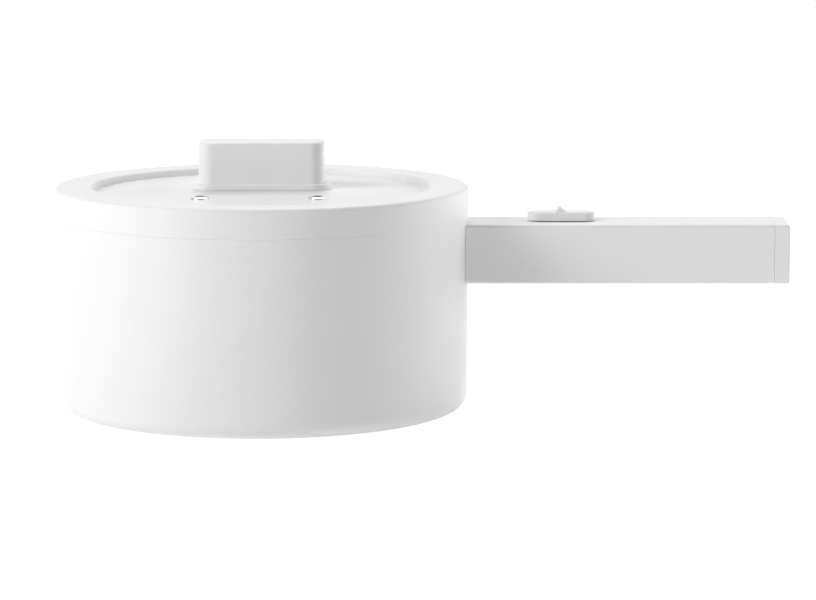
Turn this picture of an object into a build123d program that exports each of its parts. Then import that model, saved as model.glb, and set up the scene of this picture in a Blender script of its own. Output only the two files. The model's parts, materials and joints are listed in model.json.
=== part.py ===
from build123d import *
from collections import namedtuple
import math
import os

# Electric pot with a lift-off lid and a bar handle. Millimetres, Z up.
# The pot's axis is Z, the table is z = 0, and the handle points along +X.

# Outer shell
foot_height = 1.2          # the foot ring stands this far below the shell
body_radius = 94.0         # at the seam
wall_draft = 0.6           # how much narrower the wall is at its foot
body_height = 88.3         # from the shell's underside to the seam
foot_round = 6.5
shell_wall = 2.4
ledge_depth = 2.6          # from the seam down to the ledge that carries the pan
ledge_width = 3.0
ledge_thickness = 2.5
ledge_slope = 2.0
floor_thickness = 2.4
foot_rim = 4.4             # flat rim around the base cover
cover_thickness = 2.2
cover_inset = 0.2

# Pan
wall_gap = 5.5             # air between the shell and the pan
pan_wall = 1.6
pan_floor = 2.0
pan_corner = 14.0
flange_thickness = 1.6
lip_round = 0.7
rim_seal_thickness = 0.8
rim_seal_width = 2.1

# Heater and base
standoff_radius = 4.0
standoff_height = 13.2
standoff_margin = 1.0      # from the pan's corner
standoff_count = 3
standoff_angle = 60.0
spreader_thickness = 3.0
spreader_margin = 2.0      # from the standoffs
tube_radius = 3.3
tube_flat = 0.5            # how much of the tube is flattened where it is brazed on
tube_edge = 6.0            # from the tube to the spreader's edge
tube_gap = 48.0            # between the tube's ends
pin_radius = 1.3
pin_length = 12.0
thermostat_radius = 8.0
thermostat_height = 8.0
thermostat_cap_radius = 10.0
thermostat_cap_height = 2.0
strap_thickness = 1.0
strap_width = 22.0
strap_reach = 14.0         # half length of the strap's middle
strap_ear = 8.0
fuse_radius = 2.2
fuse_length = 12.0
fuse_lead_radius = 0.6
fuse_lead_length = 8.0
clip_wall = 1.2
clip_length = 7.0
clip_ear = 7.0
clip_margin = 2.1          # from the thermostat's strap to the clip
shield_thickness = 0.8
shield_gap = 0.3
shield_margin = 4.0
shield_post_radius = 3.0
shield_post_inset = 14.0
shield_post_count = 4
shield_post_angle = 45.0
floor_margin = 2.0         # ledge of the shell's floor inside the standoffs
foot_ring_width = 5.5
foot_ring_margin = 2.9
foot_ring_sunk = 1.0

# Handle
handle_drop = 3.0          # from the seam down to the handle's top
handle_height = 27.0
handle_width = 33.8
handle_reach = 145.4       # from the wall to the handle's end
handle_wall = 2.4
handle_round = 1.5
handle_cover_thickness = 2.0
root_wall = 4.0
root_gap = 0.05
root_boss_radius = 3.5
root_boss_length = 7.0
root_boss_rise = 4.8
wire_hole_radius = 5.2
bracket_thickness = 1.6
bracket_half_height = 8.7
bracket_margin = 1.6       # beside the screw heads
cap_length = 7.1
cap_gap = 0.1
cap_round = 1.2
spigot_length = 3.5
spigot_wall = 1.2
cover_boss_radius = 3.1
cover_boss_from_switch = 36.0
cover_boss_from_end = 32.2
cover_boss_bore = 10.0

# Switch
switch_reach = 42.2        # from the wall to the middle of the switch
switch_travel = 4.0        # to each side
button_length = 31.0
button_width = 11.0
button_height = 3.9
button_round = 1.0
button_lift = 0.45
ridge_shift = 1.0          # from the middle of the button to the ridge's peak
ridge_steep = 1.7          # base of the ridge on the pot's side of its peak
ridge_run = 3.2            # base of the ridge on the other side
ridge_height = 2.7
ridge_length = 8.6
stem_length = 7.0
stem_width = 5.0
stem_grip = 2.0            # how far the stem reaches into the button
carriage_length = 26.0
carriage_width = 9.6
carriage_thickness = 2.3
tab_length = 3.0
tab_width = 4.0
tab_height = 4.0
module_length = 34.0
module_width = 15.0
module_height = 7.5
module_gap = 0.5
ear_reach = 7.5            # how far each ear stands out from the module
ear_width = 10.0
ear_thickness = 2.0
module_post_radius = 3.0
terminal_count = 3
terminal_spacing = 11.0
terminal_thickness = 0.8
terminal_width = 5.0
terminal_height = 3.7
diode_radius = 2.0
diode_length = 6.5
diode_lead_radius = 0.5

# Mains inlet
inlet_wall = 1.9
inlet_depth = 14.4
inlet_back = 2.0
inlet_sunk = 0.6
inlet_flange = 1.5
inlet_flange_thickness = 1.5
pin_blade_width = 4.0
pin_blade_thickness = 2.0
pin_reach = 9.0
pin_tail = 6.0
pin_margin = 2.8           # from the blades to the side of the recess
pin_low = -2.2
pin_high = 2.6

# Wires
wire_radius = 1.2
wire_bend = 3.0
wire_spacing = 3.7
wire_end_gap = 0.3
root_wire_run = 9.0        # from the root bosses to the start of the side lanes
inlet_wire_run = 11.0      # from the inlet pins to the end of the side lanes

# Lid
lid_height = 13.3          # from the seam to the top of the ring
seam_gap = 0.05
ring_width = 17.0
ring_wall = 2.4
ring_round = 1.6
ring_inner_round = 1.0
glass_thickness = 3.5
glass_grip = 3.6           # how far the glass reaches under the ring
glass_rim = 2.0            # flat rim that shows inside the ring
dome_height = 2.0
dome_flat_radius = 36.0
gasket_lip = 0.8
gasket_show = 0.6
retainer_lift = 1.5        # from the seam up to the retainer's underside
retainer_thickness = 2.2
retainer_reach = 1.6       # how far the retainer reaches inside the ring
skirt_clearance = 2.3
skirt_thickness = 2.2
skirt_depth = 7.0
skirt_sunk = 1.0           # how far the skirt is let into the retainer
lid_boss_radius = 3.0
lid_boss_gap = 1.0         # from the gasket to the bosses
lid_screw_count = 6
lid_screw_angle = 30.0
lid_seal_width = 1.6
lid_seal_margin = 0.9      # from the seal to the edge of the pan's flange
lid_seal_groove = 0.8
vent_x = 26.2
vent_y = -41.0
eyelet_radius = 4.2
eyelet_flange = 0.9
eyelet_barrel = 3.0
eyelet_bore = 2.0

# Knob
knob_length = 57.3
knob_depth = 22.0
knob_height = 18.8
knob_corner = 6.5
knob_draft = 0.4           # degrees
knob_round = 0.9
knob_wall = 2.4
knob_boss_radius = 4.0
knob_boss_spread = 16.0
base_plate_reach = 2.55
base_plate_thickness = 2.3
base_plate_round = 0.4
knob_seal_thickness = 0.4
knob_seal_inset = 0.3
washer_radius = 5.5
washer_thickness = 1.0

# Fits
fit = 0.3                  # loose pieces beside each other
slide_fit = 0.4            # the stem in its slot
thread_gap = 0.1           # screw in its bore
seal_fit = 0.1

# Screws
Screw = namedtuple("Screw", "head_radius head_height shank_radius")
base_screw = Screw(head_radius=3.75, head_height=1.0, shank_radius=2.0)
small_screw = Screw(head_radius=2.75, head_height=1.8, shank_radius=1.5)
flat_screw = Screw(head_radius=2.7, head_height=1.2, shank_radius=1.4)
lid_screw = Screw(head_radius=2.4, head_height=1.2, shank_radius=1.25)
knob_screw = Screw(head_radius=4.0, head_height=2.8, shank_radius=2.0)
base_screw_length = 14.8
strap_screw_length = 3.2
root_screw_length = 15.0
cover_screw_length = 8.0
module_screw_length = 4.6
lid_screw_length = 6.0
knob_screw_length = 17.4
counterbore_gap = 0.2

# Heights worked out from the sizes above
shell_bottom = foot_height
seam_z = shell_bottom + body_height
cover_bottom = shell_bottom + cover_inset
cover_top = cover_bottom + cover_thickness
floor_top = cover_top + floor_thickness
pan_under = floor_top + standoff_height
pan_inside = pan_under + pan_floor
ledge_top = seam_z - ledge_depth
ledge_bottom = ledge_top - ledge_thickness
flange_bottom = ledge_top + rim_seal_thickness
flange_top = flange_bottom + flange_thickness
spreader_bottom = pan_under - spreader_thickness
tube_z = spreader_bottom + tube_flat - tube_radius
thermostat_bottom = spreader_bottom - thermostat_height
shield_top = thermostat_bottom - shield_gap
shield_bottom = shield_top - shield_thickness
handle_top = seam_z - handle_drop
handle_bottom = handle_top - handle_height
handle_z = (handle_top + handle_bottom) / 2
handle_ceiling = handle_top - handle_wall
handle_floor = handle_bottom + handle_cover_thickness
carriage_top = handle_ceiling - fit
carriage_bottom = carriage_top - carriage_thickness
module_top = carriage_bottom - module_gap
module_bottom = module_top - module_height
button_bottom = handle_top + button_lift
ring_top = seam_z + lid_height
ring_bottom = seam_z + seam_gap
ring_ceiling = ring_top - ring_wall
glass_rim_top = ring_ceiling - gasket_lip
glass_rim_bottom = glass_rim_top - glass_thickness
gasket_bottom = glass_rim_bottom - gasket_lip
retainer_bottom = seam_z + retainer_lift
retainer_top = retainer_bottom + retainer_thickness
skirt_top = retainer_bottom + skirt_sunk
glass_top = glass_rim_top + dome_height
glass_under = glass_top - glass_thickness
base_plate_bottom = glass_top + knob_seal_thickness
knob_bottom = base_plate_bottom + base_plate_thickness

# Radii and lengths worked out from the sizes above
wall_foot_radius = body_radius - wall_draft
rebate_radius = wall_foot_radius - foot_round - foot_rim
cover_radius = rebate_radius - fit
pan_outer = body_radius - shell_wall - wall_gap
pan_radius = pan_outer - pan_wall
flange_radius = body_radius - shell_wall - fit
ledge_radius = body_radius - shell_wall - ledge_width
standoff_circle = pan_outer - pan_corner - pan_wall - standoff_radius - standoff_margin
floor_opening = standoff_circle - standoff_radius - floor_margin
spreader_radius = standoff_circle - standoff_radius - spreader_margin
tube_ring_radius = spreader_radius - tube_edge - tube_radius
tube_end_angle = math.degrees(math.asin(tube_gap / 2 / tube_ring_radius))
shield_radius = floor_opening - shield_margin
shield_post_circle = shield_radius - shield_post_inset
foot_ring_outer = cover_radius - foot_ring_margin
foot_ring_inner = foot_ring_outer - foot_ring_width
strap_screw_x = strap_reach + strap_thickness + strap_ear / 2
clip_half = fuse_radius + clip_wall + fit
fuse_y = strap_width / 2 + clip_margin + clip_half
fuse_z = spreader_bottom - fuse_radius - fit
clip_screw_y = fuse_y + clip_half + clip_ear / 2
handle_end = body_radius + handle_reach
cap_start = handle_end - cap_length
housing_end = cap_start - cap_gap
cavity_start = body_radius + root_wall
cavity_half = handle_width / 2 - handle_wall
root_boss_y = cavity_half - root_boss_radius - fit
bracket_half_width = root_boss_y + small_screw.head_radius + bracket_margin
switch_x = body_radius + switch_reach
module_post_spread = (module_length + ear_reach) / 2
cover_boss_spots = (switch_x + cover_boss_from_switch, cap_start - cover_boss_from_end)
inlet_width = handle_width - 2 * (handle_wall + fit + inlet_flange)
inlet_height = handle_height - handle_wall - handle_cover_thickness - 2 * (fit + inlet_flange)
pin_spread = inlet_width / 2 - inlet_wall - pin_margin - pin_blade_width / 2
inlet_front = handle_end - inlet_sunk
inlet_floor = inlet_front - inlet_depth
inlet_rear = inlet_floor - inlet_back
pin_end = inlet_rear - pin_tail
ring_inner = body_radius - ring_width
glass_radius = ring_inner + glass_grip
gasket_outer = glass_radius + gasket_lip
glass_rim_radius = ring_inner - glass_rim
retainer_outer = body_radius - ring_wall - fit
retainer_inner = ring_inner - retainer_reach
skirt_outer = pan_radius - skirt_clearance
skirt_inner = skirt_outer - skirt_thickness
lid_screw_circle = gasket_outer + lid_boss_gap + lid_boss_radius
lid_seal_outer = flange_radius - lid_seal_margin
lid_seal_inner = lid_seal_outer - lid_seal_width
dome_run = glass_rim_radius - dome_flat_radius
dome_radius = (dome_run**2 + dome_height**2) / (2 * dome_height)

UP = (Align.CENTER, Align.CENTER, Align.MIN)


def block(x_span, y_span, z_span):
    """Box between pairs of low and high values."""
    spans = (x_span, y_span, z_span)
    middle = [(low + high) / 2 for low, high in spans]
    return Pos(*middle) * Box(*[high - low for low, high in spans])


def post(radius, bottom, top, x=0.0, y=0.0):
    """Upright cylinder."""
    return Pos(x, y, bottom) * Cylinder(radius, top - bottom, align=UP)


def rod(radius, start, end, y=0.0, z=0.0):
    """Cylinder along X."""
    return Pos(start, y, z) * Rot(0, 90, 0) * Cylinder(radius, end - start, align=UP)


def ring(*points, arc=360.0):
    """Solid of revolution about Z from (radius, height) points."""
    return revolve(Plane.XZ * make_face(Polyline(*points, close=True)), Axis.Z, arc)


def rounded(part, radius, height, amount, within=0.01):
    """Round the circular edges that have this radius at this height."""

    def picked(edge):
        return abs(edge.radius - radius) < within and abs(edge.arc_center.Z - height) < within

    edges = part.edges().filter_by(GeomType.CIRCLE).filter_by(picked)
    return fillet(edges, amount)


def plate(length, depth, corner, bottom, top):
    """Upright plate with rounded corners, centred on the axis."""
    outline = Plane.XY.offset(bottom) * RectangleRounded(length, depth, corner)
    return extrude(outline, amount=top - bottom)


def bar(width, height, corner, start, end):
    """Bar along X with rounded long edges, centred on the handle's height."""
    outline = Plane.YZ.offset(start) * Pos(0, handle_z) * RectangleRounded(width, height, corner)
    return extrude(outline, amount=end - start)


def around(radius, count, start=0.0):
    """Points spread evenly on a circle."""
    angles = [math.radians(start + 360.0 * i / count) for i in range(count)]
    return [(radius * math.cos(a), radius * math.sin(a)) for a in angles]


def screw(sizes, length):
    """Screw that points up, with the underside of its head at z = 0."""
    head = post(sizes.head_radius, -sizes.head_height, 0.0)
    return head + post(sizes.shank_radius, -sizes.head_height / 2, length)


def wall_outside(z):
    """Outer radius of the shell's drafted wall at a height."""
    share = (seam_z - z) / (seam_z - shell_bottom)
    return body_radius - wall_draft * share


def wall_inside(z):
    """Inner radius of the shell's drafted wall at a height."""
    return wall_outside(z) - shell_wall


def dome_z(radius):
    """Height of the glass's upper face."""
    run = max(0.0, radius - dome_flat_radius)
    return glass_top - dome_radius + math.sqrt(dome_radius**2 - run**2)


standoff_spots = around(standoff_circle, standoff_count, standoff_angle)
root_spots = [(side * root_boss_y, handle_z + rise * root_boss_rise) for side in (-1, 1) for rise in (-1, 1)]
lid_screw_spots = around(lid_screw_circle, lid_screw_count, lid_screw_angle)
knob_spots = [(-knob_boss_spread, 0.0), (knob_boss_spread, 0.0)]
strap_screw_spots = [(-strap_screw_x, 0.0), (strap_screw_x, 0.0), (0.0, clip_screw_y)]
module_post_spots = [switch_x - module_post_spread, switch_x + module_post_spread]
terminal_first_x = switch_x - terminal_spacing * (terminal_count - 1) / 2
terminal_spots = [terminal_first_x + i * terminal_spacing for i in range(terminal_count)]


# Pot body

def outer_shell():
    inner_foot = wall_foot_radius - shell_wall
    shell = ring(
        (rebate_radius, shell_bottom),
        (wall_foot_radius, shell_bottom),
        (body_radius, seam_z),
        (body_radius - shell_wall, seam_z),
        (body_radius - shell_wall, ledge_top),
        (ledge_radius, ledge_top),
        (ledge_radius, ledge_bottom),
        (wall_inside(ledge_bottom - ledge_slope), ledge_bottom - ledge_slope),
        (inner_foot, floor_top),
        (floor_opening, floor_top),
        (floor_opening, cover_top),
        (rebate_radius, cover_top),
    )
    shell = rounded(shell, wall_foot_radius, shell_bottom, foot_round)
    shell = rounded(shell, inner_foot, floor_top, foot_round - shell_wall)
    outside = body_radius + root_gap
    shell -= rod(wire_hole_radius, pan_outer, outside, 0.0, handle_z)
    shank = small_screw.shank_radius + thread_gap
    shell -= [rod(shank, pan_outer, outside, y, z) for y, z in root_spots]
    shank = base_screw.shank_radius + thread_gap
    shell -= [post(shank, cover_bottom, floor_top, x, y) for x, y in standoff_spots]
    return shell


def inner_pot():
    pan = ring(
        (0.0, pan_under),
        (pan_outer, pan_under),
        (pan_outer, flange_bottom),
        (flange_radius, flange_bottom),
        (flange_radius, flange_top),
        (pan_radius, flange_top),
        (pan_radius, pan_inside),
        (0.0, pan_inside),
    )
    pan = rounded(pan, pan_outer, pan_under, pan_corner + pan_wall)
    pan = rounded(pan, pan_radius, pan_inside, pan_corner)
    return rounded(pan, pan_radius, flange_top, lip_round)


def pot_rim_seal():
    outer = flange_radius - fit
    inner = outer - rim_seal_width
    return post(outer, ledge_top, flange_bottom) - post(inner, ledge_top, flange_bottom)


def heat_spreader():
    disc = post(spreader_radius, spreader_bottom, pan_under)
    shank = small_screw.shank_radius + thread_gap
    depth = spreader_bottom + strap_screw_length - strap_thickness + thread_gap
    return disc - [post(shank, spreader_bottom, depth, x, y) for x, y in strap_screw_spots]


def heater_tube():
    section = Pos(tube_ring_radius, tube_z) * Circle(tube_radius)
    above = Pos(tube_ring_radius, spreader_bottom + tube_radius) * Rectangle(3 * tube_radius, 2 * tube_radius)
    tube = revolve(Plane.XZ * (section - above), Axis.Z, 360.0 - 2 * tube_end_angle)
    return Rot(0, 0, tube_end_angle) * tube


def heater_pin(side):
    """Cold pin that carries on from one end of the tube into its gap."""
    angle = math.radians(tube_end_angle)
    start = (tube_ring_radius * math.cos(angle), side * tube_ring_radius * math.sin(angle), tube_z)
    direction = (math.sin(angle), -side * math.cos(angle), 0.0)
    pin = extrude(Plane(start, z_dir=direction) * Circle(pin_radius), amount=pin_length)
    tip = [s + pin_length * d for s, d in zip(start, direction)]
    return pin, tip, direction


def heat_shield():
    return post(shield_radius, shield_bottom, shield_top)


def thermostat():
    body = post(thermostat_radius, thermostat_bottom, spreader_bottom)
    return body + post(thermostat_cap_radius, spreader_bottom - thermostat_cap_height, spreader_bottom)


def thermostat_bracket():
    half = strap_width / 2
    low = spreader_bottom - thermostat_cap_height - strap_thickness
    high = spreader_bottom - strap_thickness
    web = strap_reach + strap_thickness
    strap = block((-web, web), (-half, half), (low, low + strap_thickness))
    for side in (-1, 1):
        web_span = sorted((side * strap_reach, side * web))
        ear_span = sorted((side * strap_reach, side * (web + strap_ear)))
        strap += block(web_span, (-half, half), (low, spreader_bottom))
        strap += block(ear_span, (-half, half), (high, spreader_bottom))
    strap -= post(thermostat_radius + fit, low, low + strap_thickness)
    shank = small_screw.shank_radius + thread_gap
    return strap - [post(shank, high, spreader_bottom, x, y) for x, y in strap_screw_spots[:2]]


def thermal_fuse():
    body = rod(fuse_radius, -fuse_length / 2, fuse_length / 2, fuse_y, fuse_z)
    reach = fuse_length / 2 + fuse_lead_length
    return body + rod(fuse_lead_radius, -reach, reach, fuse_y, fuse_z)


def fuse_clip():
    half = clip_length / 2
    low = fuse_z - clip_half
    saddle = block((-half, half), (fuse_y - clip_half, fuse_y + clip_half), (low, spreader_bottom))
    saddle -= rod(fuse_radius + fit, -half, half, fuse_y, fuse_z)
    saddle -= block((-half, half), (fuse_y - fuse_radius, fuse_y + fuse_radius), (fuse_z, spreader_bottom))
    ear_y = (fuse_y + clip_half - clip_wall / 2, fuse_y + clip_half + clip_ear)
    high = spreader_bottom - strap_thickness
    saddle += block((-half, half), ear_y, (high, spreader_bottom))
    return saddle - post(small_screw.shank_radius + thread_gap, high, spreader_bottom, 0.0, clip_screw_y)


def bracket_screws():
    one = screw(small_screw, strap_screw_length)
    seat = spreader_bottom - strap_thickness
    return Part() + [Pos(x, y, seat) * one for x, y in strap_screw_spots]


def pot_standoff(x, y):
    bore_top = cover_bottom + base_screw_length + thread_gap
    bore = post(base_screw.shank_radius + thread_gap, floor_top, bore_top, x, y)
    return post(standoff_radius, floor_top, pan_under, x, y) - bore


def base_cover():
    cover = post(cover_radius, cover_bottom, cover_top)
    groove = post(foot_ring_outer + seal_fit, cover_bottom, cover_bottom + foot_ring_sunk)
    groove -= post(foot_ring_inner - seal_fit, cover_bottom, cover_bottom + foot_ring_sunk)
    cover -= groove
    spots = around(shield_post_circle, shield_post_count, shield_post_angle)
    cover += [post(shield_post_radius, cover_top, shield_bottom, x, y) for x, y in spots]
    shank = base_screw.shank_radius + thread_gap
    return cover - [post(shank, cover_bottom, cover_top, x, y) for x, y in standoff_spots]


def base_screws():
    one = screw(base_screw, base_screw_length)
    return Part() + [Pos(x, y, cover_bottom) * one for x, y in standoff_spots]


def foot_ring():
    top = cover_bottom + foot_ring_sunk
    return post(foot_ring_outer, 0.0, top) - post(foot_ring_inner, 0.0, top)


# Handle

def handle_housing():
    housing = bar(handle_width, handle_height, handle_round, 0.0, housing_end)
    housing -= ring(
        (0.0, handle_bottom),
        (wall_outside(handle_bottom) + root_gap, handle_bottom),
        (wall_outside(handle_top) + root_gap, handle_top),
        (0.0, handle_top),
    )
    inside = (-cavity_half, cavity_half)
    housing -= block((cavity_start, housing_end), inside, (handle_bottom, handle_ceiling))
    boss_end = cavity_start + root_boss_length
    housing += [rod(root_boss_radius, cavity_start - fit, boss_end, y, z) for y, z in root_spots]
    shank = small_screw.shank_radius + thread_gap
    housing -= [rod(shank, pan_outer, boss_end, y, z) for y, z in root_spots]
    housing -= rod(wire_hole_radius, pan_outer, cavity_start, 0.0, handle_z)
    slot_half = stem_length / 2 + switch_travel + slide_fit
    slot_y = stem_width / 2 + slide_fit
    slot_x = (switch_x - slot_half, switch_x + slot_half)
    housing -= block(slot_x, (-slot_y, slot_y), (handle_ceiling, handle_top))
    housing += [post(module_post_radius, module_top, handle_ceiling, x) for x in module_post_spots]
    shank = flat_screw.shank_radius + thread_gap
    bore_top = module_top - ear_thickness + module_screw_length + thread_gap
    housing -= [post(shank, module_top, bore_top, x) for x in module_post_spots]
    housing += [post(cover_boss_radius, handle_floor, handle_ceiling, x) for x in cover_boss_spots]
    bore_top = handle_floor + cover_boss_bore
    return housing - [post(shank, handle_floor, bore_top, x) for x in cover_boss_spots]


def handle_bottom_cover():
    half = cavity_half - fit
    cover = block((cavity_start + fit, housing_end), (-half, half), (handle_bottom, handle_floor))
    head = flat_screw.head_radius + counterbore_gap
    seat = handle_bottom + flat_screw.head_height
    cover -= [post(head, handle_bottom, seat, x) for x in cover_boss_spots]
    shank = flat_screw.shank_radius + thread_gap
    return cover - [post(shank, handle_bottom, handle_floor, x) for x in cover_boss_spots]


def handle_cover_screws():
    one = screw(flat_screw, cover_screw_length)
    seat = handle_bottom + flat_screw.head_height
    return Part() + [Pos(x, 0, seat) * one for x in cover_boss_spots]


def handle_end_cap():
    cap = bar(handle_width, handle_height, handle_round, cap_start, handle_end)
    cap = fillet(cap.faces().sort_by(Axis.X)[-1].edges(), cap_round)
    outer_y = cavity_half - fit
    spigot_x = (cap_start - spigot_length, cap_start)
    low = handle_floor + fit
    high = handle_ceiling - fit
    spigot = block(spigot_x, (-outer_y, outer_y), (low, high))
    inner_y = outer_y - spigot_wall
    spigot -= block(spigot_x, (-inner_y, inner_y), (low + spigot_wall, high - spigot_wall))
    half_y = inlet_width / 2 + fit
    half_z = inlet_height / 2 + fit
    window = block((cap_start, handle_end), (-half_y, half_y), (handle_z - half_z, handle_z + half_z))
    return cap + spigot - window


def handle_bracket():
    low = handle_z - bracket_half_height
    high = handle_z + bracket_half_height
    half_angle = math.degrees(math.asin(bracket_half_width / wall_inside(handle_z)))
    strip = ring(
        (wall_inside(low) - root_gap - bracket_thickness, low),
        (wall_inside(low) - root_gap, low),
        (wall_inside(high) - root_gap, high),
        (wall_inside(high) - root_gap - bracket_thickness, high),
        arc=2 * half_angle,
    )
    strip = Rot(0, 0, -half_angle) * strip
    shank = small_screw.shank_radius + thread_gap
    strip -= [rod(shank, pan_outer, body_radius, y, z) for y, z in root_spots]
    return strip - rod(wire_hole_radius, pan_outer, body_radius, 0.0, handle_z)


def handle_bracket_screws():
    inside = wall_inside(handle_z - bracket_half_height) - root_gap - bracket_thickness
    seat = math.sqrt(inside**2 - (root_boss_y + small_screw.head_radius) ** 2) - root_gap
    one = Rot(0, 90, 0) * screw(small_screw, root_screw_length)
    return Part() + [Pos(seat, y, z) * one for y, z in root_spots]


def switch_module():
    half = module_length / 2
    half_y = module_width / 2
    body = block((switch_x - half, switch_x + half), (-half_y, half_y), (module_bottom, module_top))
    reach = half + ear_reach
    ear_z = (module_top - ear_thickness, module_top)
    body += block((switch_x - reach, switch_x + reach), (-ear_width / 2, ear_width / 2), ear_z)
    slot_half = tab_length / 2 + switch_travel + slide_fit
    slot_y = tab_width / 2 + slide_fit
    slot_z = (carriage_bottom - tab_height - slide_fit, module_top)
    body -= block((switch_x - slot_half, switch_x + slot_half), (-slot_y, slot_y), slot_z)
    shank = flat_screw.shank_radius + thread_gap
    return body - [post(shank, module_top - ear_thickness, module_top, x) for x in module_post_spots]


def switch_module_screws():
    one = screw(flat_screw, module_screw_length)
    seat = module_top - ear_thickness
    return Part() + [Pos(x, 0, seat) * one for x in module_post_spots]


def switch_terminal(x):
    half = terminal_thickness / 2
    half_y = terminal_width / 2
    return block((x - half, x + half), (-half_y, half_y), (module_bottom - terminal_height, module_bottom))


def switch_diode():
    """Diode between the first two terminals, for the low heat setting."""
    z = module_bottom - diode_radius - wire_end_gap
    gap = terminal_thickness / 2 + wire_end_gap
    left, right = terminal_spots[:2]
    middle = (left + right) / 2
    body = rod(diode_radius, middle - diode_length / 2, middle + diode_length / 2, 0.0, z)
    return body + rod(diode_lead_radius, left + gap, right - gap, 0.0, z)


def inlet_pin_spots():
    return {
        "live": (pin_spread, handle_z + pin_low),
        "neutral": (-pin_spread, handle_z + pin_low),
        "earth": (0.0, handle_z + pin_high),
    }


def inlet_blade(y, z, start, end, gap=0.0):
    half_y = pin_blade_width / 2 + gap
    half_z = pin_blade_thickness / 2 + gap
    return block((start, end), (y - half_y, y + half_y), (z - half_z, z + half_z))


def inlet_socket():
    half_y = inlet_width / 2
    half_z = inlet_height / 2
    body = block((inlet_rear, inlet_front), (-half_y, half_y), (handle_z - half_z, handle_z + half_z))
    flange_y = half_y + inlet_flange
    flange_z = (handle_z - half_z - inlet_flange, handle_z + half_z + inlet_flange)
    flange_end = cap_start - spigot_length
    body += block((flange_end - inlet_flange_thickness, flange_end), (-flange_y, flange_y), flange_z)
    recess_y = half_y - inlet_wall
    recess_z = half_z - inlet_wall
    recess = (handle_z - recess_z, handle_z + recess_z)
    body -= block((inlet_floor, inlet_front), (-recess_y, recess_y), recess)
    spots = inlet_pin_spots().values()
    return body - [inlet_blade(y, z, inlet_rear, inlet_floor, thread_gap) for y, z in spots]


def wire(*points):
    path = FilletPolyline(*points, radius=wire_bend)
    return sweep(Plane(path @ 0, z_dir=path % 0) * Circle(wire_radius), path)


# Routes of the wires: lanes in the handle, down between wall and pan, and in to the heater
drop_x = (pan_outer + wall_inside(handle_z) - root_gap - bracket_thickness) / 2
root_x = cavity_start + root_boss_length
lane_y = (cavity_half + module_width / 2) / 2
low_lane_z = module_bottom - terminal_height / 2
earth_lane_z = low_lane_z + wire_spacing
side_start_x = root_x + root_wire_run
side_end_x = pin_end - inlet_wire_run
wire_tip_x = pin_end - wire_end_gap


def route_from_wall(y, tip, direction):
    """Points from the root of the handle down the wall and in to one heater pin."""
    start = [t + wire_end_gap * d for t, d in zip(tip, direction)]
    bend = [t + 2 * wire_bend * d for t, d in zip(tip, direction)]
    inner_x = bend[0] + abs(bend[1] - y)
    return [(drop_x, y, handle_z), (drop_x, y, tube_z), (inner_x, y, tube_z), tuple(bend), tuple(start)]


def live_wire():
    y, z = inlet_pin_spots()["live"]
    start = terminal_spots[-1] + terminal_thickness / 2 + wire_end_gap
    module_end = switch_x + module_length / 2
    points = [(start, 0, low_lane_z), (module_end, 0, low_lane_z), (module_end + lane_y, lane_y, low_lane_z)]
    points += [(side_end_x - wire_bend, lane_y, low_lane_z), (side_end_x + wire_bend, y, z)]
    return wire(*points, (wire_tip_x, y, z))


def switched_wire(tip, direction):
    start = terminal_spots[0] - terminal_thickness / 2 - wire_end_gap
    points = [(start, 0, low_lane_z), (side_start_x, 0, low_lane_z), (root_x, 0, handle_z)]
    return wire(*points, *route_from_wall(0.0, tip, direction))


def neutral_wire(tip, direction):
    y, z = inlet_pin_spots()["neutral"]
    points = [(wire_tip_x, y, z), (side_end_x + wire_bend, y, z)]
    points += [(side_end_x - wire_bend, -lane_y, low_lane_z), (side_start_x, -lane_y, low_lane_z)]
    points.append((root_x, -wire_spacing, handle_z))
    return wire(*points, *route_from_wall(-wire_spacing, tip, direction))


def earth_wire():
    y, z = inlet_pin_spots()["earth"]
    high = pan_under - wire_radius - wire_end_gap
    points = [(wire_tip_x, y, z), (side_end_x + wire_bend, y, z)]
    points += [(side_end_x - wire_bend, lane_y, earth_lane_z), (side_start_x, lane_y, earth_lane_z)]
    points += [(root_x, wire_spacing, handle_z), (drop_x, wire_spacing, handle_z), (drop_x, wire_spacing, high)]
    return wire(*points, (spreader_radius + 2 * wire_radius, wire_spacing, high))


# Switch that slides

def switch_button():
    top = button_bottom + button_height
    outline = Plane.XY.offset(button_bottom) * Pos(switch_x, 0) * SlotOverall(button_length, button_width)
    button = extrude(outline, amount=button_height)
    button = fillet(button.faces().sort_by(Axis.Z)[-1].edges(), button_round)
    peak = switch_x - ridge_shift
    corners = [(peak - ridge_steep, top), (peak + ridge_run, top), (peak, top + ridge_height)]
    profile = make_face(Polyline((corners[0][0], top - button_round), (corners[1][0], top - button_round),
                                 *corners[1:], corners[0], close=True))
    button += extrude(Plane.XZ * profile, amount=ridge_length / 2, both=True)
    half_x = stem_length / 2 + thread_gap
    half_y = stem_width / 2 + thread_gap
    socket_z = (button_bottom, button_bottom + stem_grip + thread_gap)
    return button - block((switch_x - half_x, switch_x + half_x), (-half_y, half_y), socket_z)


def switch_slider():
    half = carriage_length / 2
    half_y = carriage_width / 2
    slider = block((switch_x - half, switch_x + half), (-half_y, half_y), (carriage_bottom, carriage_top))
    stem = stem_length / 2
    stem_y = stem_width / 2
    stem_z = (carriage_top, button_bottom + stem_grip)
    slider += block((switch_x - stem, switch_x + stem), (-stem_y, stem_y), stem_z)
    tab = tab_length / 2
    tab_y = tab_width / 2
    tab_z = (carriage_bottom - tab_height, carriage_bottom)
    return slider + block((switch_x - tab, switch_x + tab), (-tab_y, tab_y), tab_z)


# Lid

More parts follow.
